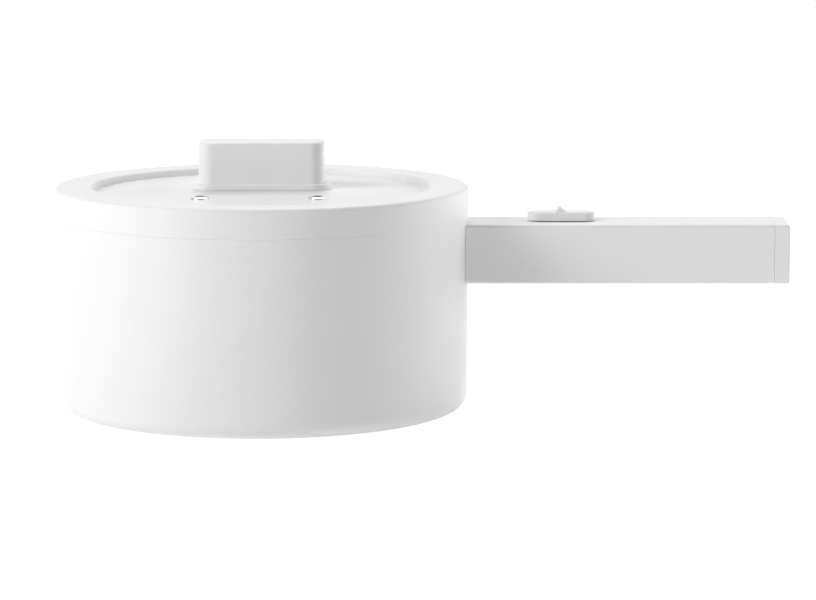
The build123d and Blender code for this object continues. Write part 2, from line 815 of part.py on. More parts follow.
def lid_ring():
    outer_wall = body_radius - ring_wall
    shape = ring(
        (outer_wall, ring_bottom),
        (body_radius, ring_bottom),
        (body_radius, ring_top),
        (ring_inner, ring_top),
        (ring_inner, ring_ceiling),
        (outer_wall, ring_ceiling),
    )
    shape = rounded(shape, body_radius, ring_top, ring_round)
    shape = rounded(shape, ring_inner, ring_top, ring_inner_round)
    shape += [post(lid_boss_radius, retainer_top, ring_ceiling, x, y) for x, y in lid_screw_spots]
    shank = lid_screw.shank_radius + thread_gap
    bore_top = retainer_bottom + lid_screw.head_height + lid_screw_length + thread_gap
    return shape - [post(shank, retainer_top, bore_top, x, y) for x, y in lid_screw_spots]


def lid_glass():
    middle = (dome_flat_radius + glass_rim_radius) / 2
    edge = [(glass_rim_radius, glass_rim_top), (glass_radius, glass_rim_top), (glass_radius, glass_rim_bottom)]
    edge.append((glass_rim_radius, glass_rim_bottom))
    outline = Line((0, glass_top), (dome_flat_radius, glass_top))
    outline += ThreePointArc((dome_flat_radius, glass_top), (middle, dome_z(middle)), edge[0])
    outline += Polyline(*edge)
    low_middle = (middle, dome_z(middle) - glass_thickness)
    outline += ThreePointArc(edge[-1], low_middle, (dome_flat_radius, glass_under))
    outline += Polyline((dome_flat_radius, glass_under), (0, glass_under), (0, glass_top))
    glass = revolve(Plane.XZ * make_face(outline), Axis.Z)
    bore = knob_screw.shank_radius + fit
    glass -= [post(bore, glass_under, glass_top, x, y) for x, y in knob_spots]
    bore = eyelet_barrel + fit
    return glass - [post(bore, glass_rim_bottom, glass_top, side * vent_x, vent_y) for side in (-1, 1)]


def glass_gasket():
    inner = ring_inner - gasket_show
    return ring(
        (inner, gasket_bottom),
        (gasket_outer, gasket_bottom),
        (gasket_outer, ring_ceiling),
        (inner, ring_ceiling),
        (inner, glass_rim_top),
        (glass_radius, glass_rim_top),
        (glass_radius, glass_rim_bottom),
        (inner, glass_rim_bottom),
    )


def lid_retainer():
    groove_outer = lid_seal_outer + seal_fit
    groove_inner = lid_seal_inner - seal_fit
    groove_top = retainer_bottom + lid_seal_groove
    shape = ring(
        (retainer_inner, retainer_bottom),
        (skirt_inner - seal_fit, retainer_bottom),
        (skirt_inner - seal_fit, skirt_top),
        (skirt_outer + seal_fit, skirt_top),
        (skirt_outer + seal_fit, retainer_bottom),
        (groove_inner, retainer_bottom),
        (groove_inner, groove_top),
        (groove_outer, groove_top),
        (groove_outer, retainer_bottom),
        (retainer_outer, retainer_bottom),
        (retainer_outer, retainer_top),
        (gasket_outer, retainer_top),
        (gasket_outer, gasket_bottom),
        (retainer_inner, gasket_bottom),
    )
    shank = lid_screw.shank_radius + thread_gap
    shape -= [post(shank, retainer_bottom, retainer_top, x, y) for x, y in lid_screw_spots]
    head = lid_screw.head_radius + counterbore_gap
    seat = retainer_bottom + lid_screw.head_height
    return shape - [post(head, retainer_bottom, seat, x, y) for x, y in lid_screw_spots]


def lid_skirt():
    low = retainer_bottom - skirt_depth
    return post(skirt_outer, low, skirt_top) - post(skirt_inner, low, skirt_top)


def retainer_screws():
    one = screw(lid_screw, lid_screw_length)
    seat = retainer_bottom + lid_screw.head_height
    return Part() + [Pos(x, y, seat) * one for x, y in lid_screw_spots]


def lid_rim_seal():
    top = retainer_bottom + lid_seal_groove
    return post(lid_seal_outer, flange_top, top) - post(lid_seal_inner, flange_top, top)


def vent_eyelet(x):
    reach = math.hypot(x, vent_y)
    seat = dome_z(reach - eyelet_radius)
    under = dome_z(reach + eyelet_radius) - glass_thickness
    eyelet = post(eyelet_barrel, under, seat, x, vent_y)
    eyelet += post(eyelet_radius, seat, seat + eyelet_flange, x, vent_y)
    eyelet += post(eyelet_radius, under - eyelet_flange, under, x, vent_y)
    return eyelet - post(eyelet_bore, under - eyelet_flange, seat + eyelet_flange, x, vent_y)


# Knob

def knob():
    top = knob_bottom + knob_height
    outline = Plane.XY.offset(knob_bottom) * RectangleRounded(knob_length, knob_depth, knob_corner)
    shape = extrude(outline, amount=knob_height, taper=knob_draft)
    shape = fillet(shape.faces().sort_by(Axis.Z)[-1].edges(), knob_round)
    lean = knob_height * math.tan(math.radians(knob_draft))
    shrink = 2 * (knob_wall + lean)
    corner = max(knob_corner - knob_wall - lean, knob_wall)
    ceiling = top - knob_wall
    shape -= plate(knob_length - shrink, knob_depth - shrink, corner, knob_bottom, ceiling)
    shape += [post(knob_boss_radius, knob_bottom, ceiling, x, y) for x, y in knob_spots]
    bore_top = glass_under - washer_thickness + knob_screw_length + thread_gap
    shank = knob_screw.shank_radius + thread_gap
    return shape - [post(shank, knob_bottom, bore_top, x, y) for x, y in knob_spots]


def knob_base():
    length = knob_length + 2 * base_plate_reach
    depth = knob_depth + 2 * base_plate_reach
    shape = plate(length, depth, knob_corner + base_plate_reach, base_plate_bottom, knob_bottom)
    shape = fillet(shape.faces().sort_by(Axis.Z)[-1].edges(), base_plate_round)
    shank = knob_screw.shank_radius + thread_gap
    return shape - [post(shank, base_plate_bottom, knob_bottom, x, y) for x, y in knob_spots]


def knob_seal():
    reach = base_plate_reach - knob_seal_inset
    corner = knob_corner + reach
    shape = plate(knob_length + 2 * reach, knob_depth + 2 * reach, corner, glass_top, base_plate_bottom)
    shank = knob_screw.shank_radius + thread_gap
    return shape - [post(shank, glass_top, base_plate_bottom, x, y) for x, y in knob_spots]


def knob_washers():
    low = glass_under - washer_thickness
    one = post(washer_radius, low, glass_under) - post(knob_screw.shank_radius + thread_gap, low, glass_under)
    return Part() + [Pos(x, y, 0) * one for x, y in knob_spots]


def knob_screws():
    one = screw(knob_screw, knob_screw_length)
    seat = glass_under - washer_thickness
    return Part() + [Pos(x, y, seat) * one for x, y in knob_spots]


pin_1, tip_1, direction_1 = heater_pin(1)
pin_2, tip_2, direction_2 = heater_pin(-1)

nodes = {
    "outer_shell": outer_shell(),
    "inner_pot": inner_pot(),
    "pot_rim_seal": pot_rim_seal(),
    "heat_spreader": heat_spreader(),
    "heater_tube": heater_tube(),
    "heater_terminal_1": pin_1,
    "heater_terminal_2": pin_2,
    "heat_shield": heat_shield(),
    "thermostat": thermostat(),
    "thermostat_bracket": thermostat_bracket(),
    "thermal_fuse": thermal_fuse(),
    "fuse_clip": fuse_clip(),
    "bracket_screws": bracket_screws(),
    "base_cover": base_cover(),
    "base_screws": base_screws(),
    "foot_ring": foot_ring(),
    "handle_housing": handle_housing(),
    "handle_bottom_cover": handle_bottom_cover(),
    "handle_cover_screws": handle_cover_screws(),
    "handle_end_cap": handle_end_cap(),
    "handle_bracket": handle_bracket(),
    "handle_bracket_screws": handle_bracket_screws(),
    "switch_module": switch_module(),
    "switch_module_screws": switch_module_screws(),
    "switch_diode": switch_diode(),
    "inlet_socket": inlet_socket(),
    "live_wire": live_wire(),
    "switched_wire": switched_wire(tip_1, direction_1),
    "neutral_wire": neutral_wire(tip_2, direction_2),
    "earth_wire": earth_wire(),
    "switch_button": switch_button(),
    "switch_slider": switch_slider(),
    "lid_ring": lid_ring(),
    "lid_glass": lid_glass(),
    "glass_gasket": glass_gasket(),
    "lid_retainer": lid_retainer(),
    "lid_skirt": lid_skirt(),
    "retainer_screws": retainer_screws(),
    "lid_rim_seal": lid_rim_seal(),
    "vent_eyelet_left": vent_eyelet(-vent_x),
    "vent_eyelet_right": vent_eyelet(vent_x),
    "knob": knob(),
    "knob_base": knob_base(),
    "knob_seal": knob_seal(),
    "knob_washers": knob_washers(),
    "knob_screws": knob_screws(),
}
for number, spot in enumerate(standoff_spots, start=1):
    nodes[f"pot_standoff_{number}"] = pot_standoff(*spot)
for number, spot in enumerate(terminal_spots, start=1):
    nodes[f"switch_terminal_{number}"] = switch_terminal(spot)
for name, (pin_y, pin_z) in inlet_pin_spots().items():
    nodes[f"inlet_pin_{name}"] = inlet_blade(pin_y, pin_z, pin_end, inlet_floor + pin_reach)

os.makedirs("parts", exist_ok=True)
for name, shape in nodes.items():
    export_step(shape, f"parts/{name}.step")
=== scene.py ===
# %% [markdown]
# An electric pot, dressed for its portrait.
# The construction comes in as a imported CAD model: every piece at its real size, riding on one of
# three bodies (the pot, its lid and the switch on the handle). This lesson gives those pieces their
# finishes, models the small metal parts that show, and sets up the studio that the pot stands in.

# %% Load the frame
import json
import math

import bmesh
import bpy
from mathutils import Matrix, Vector


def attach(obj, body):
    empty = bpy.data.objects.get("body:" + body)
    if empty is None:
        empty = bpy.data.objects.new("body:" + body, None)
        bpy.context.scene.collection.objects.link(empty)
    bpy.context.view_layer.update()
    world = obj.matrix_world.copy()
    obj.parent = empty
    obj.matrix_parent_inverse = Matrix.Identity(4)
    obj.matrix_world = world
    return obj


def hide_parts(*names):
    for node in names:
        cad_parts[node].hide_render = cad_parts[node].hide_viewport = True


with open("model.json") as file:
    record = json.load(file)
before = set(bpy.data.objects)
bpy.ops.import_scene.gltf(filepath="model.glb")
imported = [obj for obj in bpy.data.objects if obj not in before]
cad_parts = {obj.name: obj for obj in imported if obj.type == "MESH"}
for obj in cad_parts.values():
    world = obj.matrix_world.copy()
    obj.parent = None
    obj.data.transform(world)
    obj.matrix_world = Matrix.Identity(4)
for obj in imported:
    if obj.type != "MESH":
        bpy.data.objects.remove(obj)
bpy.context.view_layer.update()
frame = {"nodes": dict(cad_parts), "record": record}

nodes = frame["nodes"]
slot_of = {part["node"]: part["material_slot"] for part in frame["record"]["subparts"]}

# %% [markdown]
# A finish is a small network of shader nodes. The same few moves come back in every one of them:
# take the piece's own coordinates, draw a fine noise from them, and let the noise nudge the colour,
# the roughness and the height of the surface. Helpers for those moves keep each finish short, so
# that a finish reads like a recipe.

# %% Helpers for finishes
MM = 0.001
NOISE_LOW, NOISE_HIGH = 0.3, 0.7  # a noise seldom leaves this range


def new_finish(name):
    """A new material with its node tree, its main shader and the piece's own coordinates."""
    material = bpy.data.materials.new(name)
    material.use_nodes = True
    tree = material.node_tree
    shader = tree.nodes["Principled BSDF"]
    place = tree.nodes.new("ShaderNodeTexCoord").outputs["Object"]
    return material, tree, shader, place


def grain(tree, place, size, detail=2.0, stretch=(1.0, 1.0, 1.0)):
    """Noise whose blotches are about this size in metres."""
    mapping = tree.nodes.new("ShaderNodeMapping")
    mapping.inputs["Scale"].default_value = stretch
    noise = tree.nodes.new("ShaderNodeTexNoise")
    noise.inputs["Scale"].default_value = 1.0 / size
    noise.inputs["Detail"].default_value = detail
    tree.links.new(place, mapping.inputs["Vector"])
    tree.links.new(mapping.outputs["Vector"], noise.inputs["Vector"])
    return noise.outputs["Fac"]


def spread(tree, factor, low, high):
    """Map a noise to a range of numbers."""
    ranger = tree.nodes.new("ShaderNodeMapRange")
    ranger.inputs["From Min"].default_value = NOISE_LOW
    ranger.inputs["From Max"].default_value = NOISE_HIGH
    ranger.inputs["To Min"].default_value = low
    ranger.inputs["To Max"].default_value = high
    tree.links.new(factor, ranger.inputs["Value"])
    return ranger.outputs["Result"]


def tint(tree, factor, low, high):
    """Map a noise to a range of colours."""
    ramp = tree.nodes.new("ShaderNodeValToRGB")
    ramp.color_ramp.elements[0].position = NOISE_LOW
    ramp.color_ramp.elements[1].position = NOISE_HIGH
    ramp.color_ramp.elements[0].color = (*low, 1.0)
    ramp.color_ramp.elements[1].color = (*high, 1.0)
    tree.links.new(factor, ramp.inputs["Fac"])
    return ramp.outputs["Color"]


def relief(tree, shader, height, depth):
    """Let a noise raise the surface by up to this depth in metres."""
    bump = tree.nodes.new("ShaderNodeBump")
    bump.inputs["Strength"].default_value = 1.0
    bump.inputs["Distance"].default_value = depth
    tree.links.new(height, bump.inputs["Height"])
    tree.links.new(bump.outputs["Normal"], shader.inputs["Normal"])


# %% [markdown]
# The pot, its ring, knob and handle are injection-moulded white plastic with a satin skin. A mould
# never comes out mirror smooth: the skin has a faint orange peel of a few millimetres and a much
# finer grain. Both are drawn as relief of a few microns, which is enough to soften a highlight
# without being seen as bumps, and the roughness drifts a little over the surface as it does on a
# real moulding. Rubber and the insulation of wires have a skin of the same kind, so they share the
# recipe.

# %% Moulded plastics
CLOUD, DRIFT = 30 * MM, 12 * MM  # blotches of colour and of roughness
SHADE = 0.985  # the darkest cloud in a white, as a share of its colour
ROUGHNESS_DRIFT = 0.03
PEEL, SKIN_GRAIN, GRAIN_SHARE = 2.5 * MM, 0.25 * MM, 0.35
PLASTIC_IOR = 1.49


def moulded_plastic(name, colour, roughness, depth=0.004 * MM, gloss=0.5):
    """A moulding whose peel and grain rise by up to this depth."""
    material, tree, shader, place = new_finish(name)
    cloud = grain(tree, place, CLOUD, detail=1.0)
    low = [channel * SHADE for channel in colour]
    tree.links.new(tint(tree, cloud, low, colour), shader.inputs["Base Color"])
    drift = grain(tree, place, DRIFT, detail=3.0)
    skin = spread(tree, drift, roughness - ROUGHNESS_DRIFT, roughness + ROUGHNESS_DRIFT)
    tree.links.new(skin, shader.inputs["Roughness"])
    fine = grain(tree, place, SKIN_GRAIN, detail=2.0)
    wave = grain(tree, place, PEEL, detail=1.0)
    mix = tree.nodes.new("ShaderNodeMath")
    mix.operation = "MULTIPLY_ADD"
    mix.inputs[1].default_value = GRAIN_SHARE
    tree.links.new(fine, mix.inputs[0])
    tree.links.new(wave, mix.inputs[2])
    relief(tree, shader, mix.outputs["Value"], depth)
    shader.inputs["IOR"].default_value = PLASTIC_IOR
    shader.inputs["Specular IOR Level"].default_value = gloss
    return material


finishes = {
    "white_plastic": moulded_plastic("satin_white", (0.86, 0.86, 0.86), 0.5, gloss=0.35),
    "matte_white": moulded_plastic("eroded_white", (0.80, 0.80, 0.80), 0.62, depth=0.02 * MM),
    "dark_plastic": moulded_plastic("dark_moulding", (0.03, 0.03, 0.033), 0.5, depth=0.012 * MM),
    "pale_silicone": moulded_plastic("pale_silicone", (0.84, 0.845, 0.845), 0.58),
    "foot_rubber": moulded_plastic("foot_rubber", (0.28, 0.28, 0.29), 0.75, depth=0.03 * MM),
    "brown_wire": moulded_plastic("brown_insulation", (0.2, 0.09, 0.04), 0.4),
    "black_wire": moulded_plastic("black_insulation", (0.03, 0.03, 0.03), 0.4),
    "blue_wire": moulded_plastic("blue_insulation", (0.04, 0.16, 0.45), 0.4),
    "green_wire": moulded_plastic("green_insulation", (0.15, 0.4, 0.1), 0.4),
}
print(f"moulded: {', '.join(finishes)}")

# %% [markdown]
# The lid's panel is pale glass with paint on its back: the eye sees a light ground under a hard
# face. One shader does for both: the ground is its colour, a shade cooler than the ring, and the
# face is a gloss that is tighter than on the plastic, since glass takes a finer finish than a mould.

# %% Back-painted glass
GLASS_CLOUD, GLASS_DRIFT = 40 * MM, 8 * MM
GLASS_ROUGHNESS = (0.29, 0.31)
GLASS_IOR, GLASS_GLOSS = 1.52, 0.25


def painted_glass(name, colour):
    """A pale ground under a hard, even face."""
    material, tree, shader, place = new_finish(name)
    cloud = grain(tree, place, GLASS_CLOUD, detail=1.0)
    low = [channel * SHADE for channel in colour]
    tree.links.new(tint(tree, cloud, low, colour), shader.inputs["Base Color"])
    drift = grain(tree, place, GLASS_DRIFT, detail=3.0)
    tree.links.new(spread(tree, drift, *GLASS_ROUGHNESS), shader.inputs["Roughness"])
    shader.inputs["IOR"].default_value = GLASS_IOR
    shader.inputs["Specular IOR Level"].default_value = GLASS_GLOSS
    return material


finishes["panel_glass"] = painted_glass("painted_glass", (0.845, 0.85, 0.85))
print(f"glass: roughness {GLASS_ROUGHNESS[0]} to {GLASS_ROUGHNESS[1]}")

# %% [markdown]
# Metals differ by how they were worked. Rolled, drawn and brushed pieces carry fine scratches that
# run one way, so their noise is stretched along the scratch. On a plated or polished piece no
# direction stands out, and the noise stays even.

# %% Metals
SCRATCH = 3 * MM
ONE_WAY, EVEN = (1.0, 14.0, 14.0), (1.0, 1.0, 1.0)  # how much finer the noise is along each axis
METAL_SHADE, METAL_DRIFT = 0.93, 0.06


def worked_metal(name, colour, roughness, scratch=ONE_WAY, depth=0.004 * MM):
    """Metal whose colour, roughness and height all follow its scratches."""
    material, tree, shader, place = new_finish(name)
    lines = grain(tree, place, SCRATCH, detail=4.0, stretch=scratch)
    low = [channel * METAL_SHADE for channel in colour]
    tree.links.new(tint(tree, lines, low, colour), shader.inputs["Base Color"])
    skin = spread(tree, lines, roughness - METAL_DRIFT, roughness + METAL_DRIFT)
    tree.links.new(skin, shader.inputs["Roughness"])
    relief(tree, shader, lines, depth)
    shader.inputs["Metallic"].default_value = 1.0
    return material


metals = {
    "steel": worked_metal("brushed_steel", (0.62, 0.62, 0.61), 0.35),
    "bare_aluminium": worked_metal("rolled_aluminium", (0.78, 0.78, 0.79), 0.4),
    "brass": worked_metal("drawn_brass", (0.75, 0.57, 0.27), 0.35),
}
finishes.update(metals)
print(f"metals: {', '.join(metals)}")

# %% [markdown]
# The pan has a non-stick coat: a dark paint with pale flecks in it. The flecks could be scattered
# as points, but a Voronoi texture already knows how far each place is from the nearest of its
# scattered centres, so the places that are near enough to a centre simply turn pale.

# %% The pan's coat
FLECK_PITCH = 2.2 * MM
FLECK_CORE, FLECK_EDGE = 0.10, 0.16  # of the pitch
COAT_GRAIN, COAT_RELIEF = 0.6 * MM, 0.01 * MM
COAT_ROUGHNESS = (0.36, 0.46)


def flecked_coat(name, ground, fleck):
    """A dark coat with pale flecks."""
    material, tree, shader, place = new_finish(name)
    cells = tree.nodes.new("ShaderNodeTexVoronoi")
    cells.inputs["Scale"].default_value = 1.0 / FLECK_PITCH
    tree.links.new(place, cells.inputs["Vector"])
    spots = tree.nodes.new("ShaderNodeMapRange")
    spots.inputs["From Min"].default_value = FLECK_CORE
    spots.inputs["From Max"].default_value = FLECK_EDGE
    spots.inputs["To Min"].default_value = 1.0
    spots.inputs["To Max"].default_value = 0.0
    tree.links.new(cells.outputs["Distance"], spots.inputs["Value"])
    mix = tree.nodes.new("ShaderNodeMix")
    mix.data_type = "RGBA"
    mix.inputs["A"].default_value = (*ground, 1.0)
    mix.inputs["B"].default_value = (*fleck, 1.0)
    tree.links.new(spots.outputs["Result"], mix.inputs["Factor"])
    tree.links.new(mix.outputs["Result"], shader.inputs["Base Color"])
    fine = grain(tree, place, COAT_GRAIN)
    tree.links.new(spread(tree, fine, *COAT_ROUGHNESS), shader.inputs["Roughness"])
    relief(tree, shader, fine, COAT_RELIEF)
    return material


finishes["pan_coating"] = flecked_coat("flecked_coat", (0.075, 0.075, 0.08), (0.3, 0.3, 0.3))
print(f"coat: flecks about {2 * FLECK_EDGE * FLECK_PITCH / MM:.1f} mm across")

# %% [markdown]
# The record of the part names a material slot for every piece. Giving out the finishes by slot, and
# not piece by piece, makes sure that all the pieces of one moulding or one metal match.

# %% Give out the finishes
for name, node in nodes.items():
    for slot in node.material_slots:
        slot.material = finishes[slot_of[name]]
print(f"{len(finishes)} finishes on {len(nodes)} pieces")

# %% [markdown]
# Screws and eyelets are turned parts: take half of their outline and spin it round an axis. The CAD
# model keeps them plain, so they are made again here with the details that the eye looks for, a
# cross recess and a rounded edge on a screw, a rolled lip on an eyelet. Their places and sizes are
# measured on the CAD pieces that they stand for: a copy of each mesh is merged and walked, solid by
# solid, in the order of its points, so that every run finds the solids in the same order.

# %% Measure the solids of a piece
SAME_POINT = 0.001 * MM


def solids_of(name):
    """The corner points of each separate solid in a CAD node."""
    walk = bmesh.new()
    walk.from_mesh(nodes[name].data)
    bmesh.ops.remove_doubles(walk, verts=walk.verts, dist=SAME_POINT)
    left = set(walk.verts)
    solids = []
    for seed in walk.verts:
        if seed not in left:
            continue
        left.remove(seed)
        found, edge = [seed], [seed]
        while edge:
            point = edge.pop()
            beside = {link.other_vert(point) for link in point.link_edges} & left
            left -= beside
            found += beside
            edge += beside
        solids.append([point.co.copy() for point in found])
    walk.free()
    return solids


def axis_of(points):
    """The upright middle line of a turned solid."""
    xs, ys = [point.x for point in points], [point.y for point in points]
    return Vector(((min(xs) + max(xs)) / 2, (min(ys) + max(ys)) / 2))


def reach_of(points):
    """Each corner of a turned solid as its distance from the axis and its height."""
    axis = axis_of(points)
    return [((point.xy - axis).length, point.z) for point in points]


print(f"base_screws: {len(solids_of('base_screws'))} solids")

# %% [markdown]
# The lathe is a Geometry Nodes tree. Curve to Mesh carries the outline round a small circle, which
# is the spinning, and Merge by Distance closes the tip where all the copies of one point meet on the
# axis. For a screw, two crossed bars are then cut out of the head; the manifold solver keeps the
# result closed. Instance on Points sets one finished part on every place it is given, each turned by
# its own fixed random angle, because no two screws stop alike.

# %% The lathe
LATHE_RADIUS = 1 * MM
WELD = 0.002 * MM


def lathe_tree(name, recess):
    """A tree that spins an outline and sets copies of the part on the points that it is given."""
    tree = bpy.data.node_groups.new(name, "GeometryNodeTree")
    tree.interface.new_socket("Geometry", in_out="OUTPUT", socket_type="NodeSocketGeometry")
    tree.interface.new_socket("Places", in_out="INPUT", socket_type="NodeSocketGeometry")
    kinds = {"Outline": "Object", "Segments": "Int", "Seed": "Int", "Finish": "Material"}
    if recess:
        kinds.update({"Bar": "Vector", "Face": "Vector"})
    socket = {}
    for label, kind in kinds.items():
        made = tree.interface.new_socket(label, in_out="INPUT", socket_type="NodeSocket" + kind)
        socket[label] = made.identifier
    add, link = tree.nodes.new, tree.links.new
    given = add("NodeGroupInput").outputs

    outline = add("GeometryNodeObjectInfo")
    link(given["Outline"], outline.inputs["Object"])
    circle = add("GeometryNodeCurvePrimitiveCircle")
    circle.inputs["Radius"].default_value = LATHE_RADIUS
    link(given["Segments"], circle.inputs["Resolution"])
    spin = add("GeometryNodeCurveToMesh")
    link(circle.outputs["Curve"], spin.inputs["Curve"])
    link(outline.outputs["Geometry"], spin.inputs["Profile Curve"])
    weld = add("GeometryNodeMergeByDistance")
    weld.inputs["Distance"].default_value = WELD
    link(spin.outputs["Mesh"], weld.inputs["Geometry"])
    part = weld.outputs["Geometry"]

    if recess:
        cut = add("GeometryNodeMeshBoolean")
        cut.operation = "DIFFERENCE"
        cut.solver = "MANIFOLD"
        link(part, cut.inputs["Mesh 1"])
        for quarter in (0.0, math.pi / 2):
            bar = add("GeometryNodeMeshCube")
            link(given["Bar"], bar.inputs["Size"])
            lay = add("GeometryNodeTransform")
            lay.inputs["Rotation"].default_value = (0.0, 0.0, quarter)
            link(given["Face"], lay.inputs["Translation"])
            link(bar.outputs["Mesh"], lay.inputs["Geometry"])
            link(lay.outputs["Geometry"], cut.inputs["Mesh 2"])
        part = cut.outputs["Mesh"]

    angle = add("FunctionNodeRandomValue")
    angle.inputs["Max"].default_value = math.tau
    link(given["Seed"], angle.inputs["Seed"])
    upright = add("ShaderNodeCombineXYZ")
    link(angle.outputs["Value"], upright.inputs["Z"])
    copies = add("GeometryNodeInstanceOnPoints")
    link(given["Places"], copies.inputs["Points"])
    link(part, copies.inputs["Instance"])
    link(upright.outputs["Vector"], copies.inputs["Rotation"])
    real = add("GeometryNodeRealizeInstances")
    link(copies.outputs["Instances"], real.inputs["Geometry"])
    coat = add("GeometryNodeSetMaterial")
    link(given["Finish"], coat.inputs["Material"])
    link(real.outputs["Geometry"], coat.inputs["Geometry"])
    link(coat.outputs["Geometry"], add("NodeGroupOutput").inputs["Geometry"])
    return tree, socket


screw_lathe = lathe_tree("screw_lathe", recess=True)
plain_lathe = lathe_tree("plain_lathe", recess=False)
print(f"lathe inputs: {', '.join(screw_lathe[1])}")

# %% [markdown]
# To run the lathe, the outline becomes a curve and the places become the points of a mesh that
# carries the tree as a modifier. The result is then copied to a plain mesh, and both helpers go
# away. An outline is listed as pairs of radius and height, and arc gives the points of its rounds.

# %% Run the lathe


def turned_mesh(lathe, places, outline, closed, **sizes):
    """Run the lathe and keep its result as a plain mesh."""
    tree, socket = lathe
    curve = bpy.data.curves.new("outline", "CURVE")
    curve.dimensions = "3D"
    spline = curve.splines.new("POLY")
    spline.points.add(len(outline) - 1)
    for point, (radius, height) in zip(spline.points, outline):
        point.co = (radius - LATHE_RADIUS, -height, 0.0, 1.0)
    spline.use_cyclic_u = closed
    profile = bpy.data.objects.new("outline", curve)
    points = bpy.data.meshes.new("places")
    points.from_pydata(places, [], [])
    blank = bpy.data.objects.new("blank", points)
    for helper in (profile, blank):
        bpy.context.scene.collection.objects.link(helper)
    spin = blank.modifiers.new("lathe", "NODES")
    spin.node_group = tree
    for label, value in {"Outline": profile, **sizes}.items():
        spin[socket[label]] = value
    ready = blank.evaluated_get(bpy.context.evaluated_depsgraph_get())
    mesh = bpy.data.meshes.new_from_object(ready)
    blank.modifiers.remove(spin)
    for helper in (profile, blank):
        bpy.data.objects.remove(helper)
    return mesh


def arc(radius, height, wide, tall, start, end, steps=8):
    """Points of an outline on part of an ellipse; angles in degrees, 0 outwards and 90 up."""
    turns = [math.radians(start + (end - start) * step / steps) for step in range(steps + 1)]
    return [(radius + wide * math.cos(turn), height + tall * math.sin(turn)) for turn in turns]


# %% [markdown]
# A turned piece has to move with the right body: the lid's screws lift off with the lid. So each
# finished piece is joined from its meshes, shaded smooth except over real edges, set on its body and
# named as the stand-in for the CAD pieces that it hides.

# %% Set a piece on its body
REAL_EDGE = math.radians(40)


def set_piece(name, meshes, body, stands_for):
    """Join meshes to one piece that rides a body in place of its CAD nodes."""
    whole = bmesh.new()
    for mesh in meshes:
        whole.from_mesh(mesh)
    joined = bpy.data.meshes.new(name)
    whole.to_mesh(joined)
    whole.free()
    joined.materials.append(meshes[0].materials[0])
    joined.shade_smooth()
    joined.set_sharp_from_angle(angle=REAL_EDGE)
    piece = bpy.data.objects.new(name, joined)
    bpy.context.scene.collection.objects.link(piece)
    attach(piece, body)
    if stands_for:
        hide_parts(*stands_for)
    print(f"{name}: {len(joined.polygons)} faces in place of {', '.join(stands_for) or 'nothing'}")


# %% [markdown]
# All the screws that show are pan heads seen from below, under the base, the handle and the lid. The
# outline starts at the tip of the shank, comes down to the seat, out along the underside of the head
# and round its edge to the middle of its face. The recess is as wide as a driver of the right size.

# %% Screws
plated_steel = worked_metal("plated_steel", (0.60, 0.60, 0.59), 0.36, scratch=EVEN)
SCREW_STEPS = 32
TIP_CHAMFER = 0.3 * MM
EDGE_ROUND = 0.6  # of the head's thickness
RECESS_LENGTH, RECESS_WIDTH = 1.15, 0.26  # of the head's radius
RECESS_DEPTH = 0.65  # of the head's thickness


def screw_mesh(name, seed):
    """All the screws of one CAD node, with a cross recess in each head."""
    solids = solids_of(name)
    reach = reach_of(solids[0])
    face = min(height for _, height in reach)
    tip = max(height for _, height in reach)
    head = max(radius for radius, _ in reach)
    shank = max(radius for radius, height in reach if height > tip - TIP_CHAMFER)
    seat = max(height for radius, height in reach if radius > (head + shank) / 2)
    thick, length = seat - face, tip - seat
    edge = EDGE_ROUND * thick
    outline = [(0.0, length), (shank - TIP_CHAMFER, length)]
    outline += [(shank, length - TIP_CHAMFER), (shank, 0.0), (head, 0.0)]
    outline += arc(head - edge, edge - thick, edge, edge, 0, -90) + [(0.0, -thick)]
    bar = (RECESS_LENGTH * head, RECESS_WIDTH * head, 2 * RECESS_DEPTH * thick)
    places = [(*axis_of(points), seat) for points in solids]
    print(f"{name}: {len(places)} screws, heads {2 * head / MM:.1f} mm across")
    return turned_mesh(screw_lathe, places, outline, closed=False, Segments=SCREW_STEPS, Seed=seed,
                       Finish=plated_steel, Bar=bar, Face=(0.0, 0.0, -thick))


for name, body, groups in (
    ("pot_screws", "pot", ("base_screws", "handle_cover_screws")),
    ("lid_screws", "lid", ("retainer_screws", "knob_screws")),
):
    meshes = [screw_mesh(group, seed) for seed, group in enumerate(groups)]
    set_piece(name, meshes, body, groups)

# %% [markdown]
# Two steel eyelets line the steam vents in the lid. An eyelet is a short tube whose ends are rolled
# over to grip the glass, so its lip is part of an ellipse from the bore to the rim. It is polished:
# the little white ring with a dark hole is the brightest metal on the pot.

# %% Eyelets
polished_steel = worked_metal("polished_steel", (0.74, 0.74, 0.73), 0.16, EVEN, 0.001 * MM)
VENTS = ("vent_eyelet_left", "vent_eyelet_right")
VENT_STEPS = 48
BORE_EDGE = 0.2 * MM
STEP = 0.1 * MM  # radii closer than this are one wall


def both_ends(upper):
    """The outline of a piece whose lower end mirrors its upper end."""
    return upper + [(radius, -height) for radius, height in reversed(upper)]


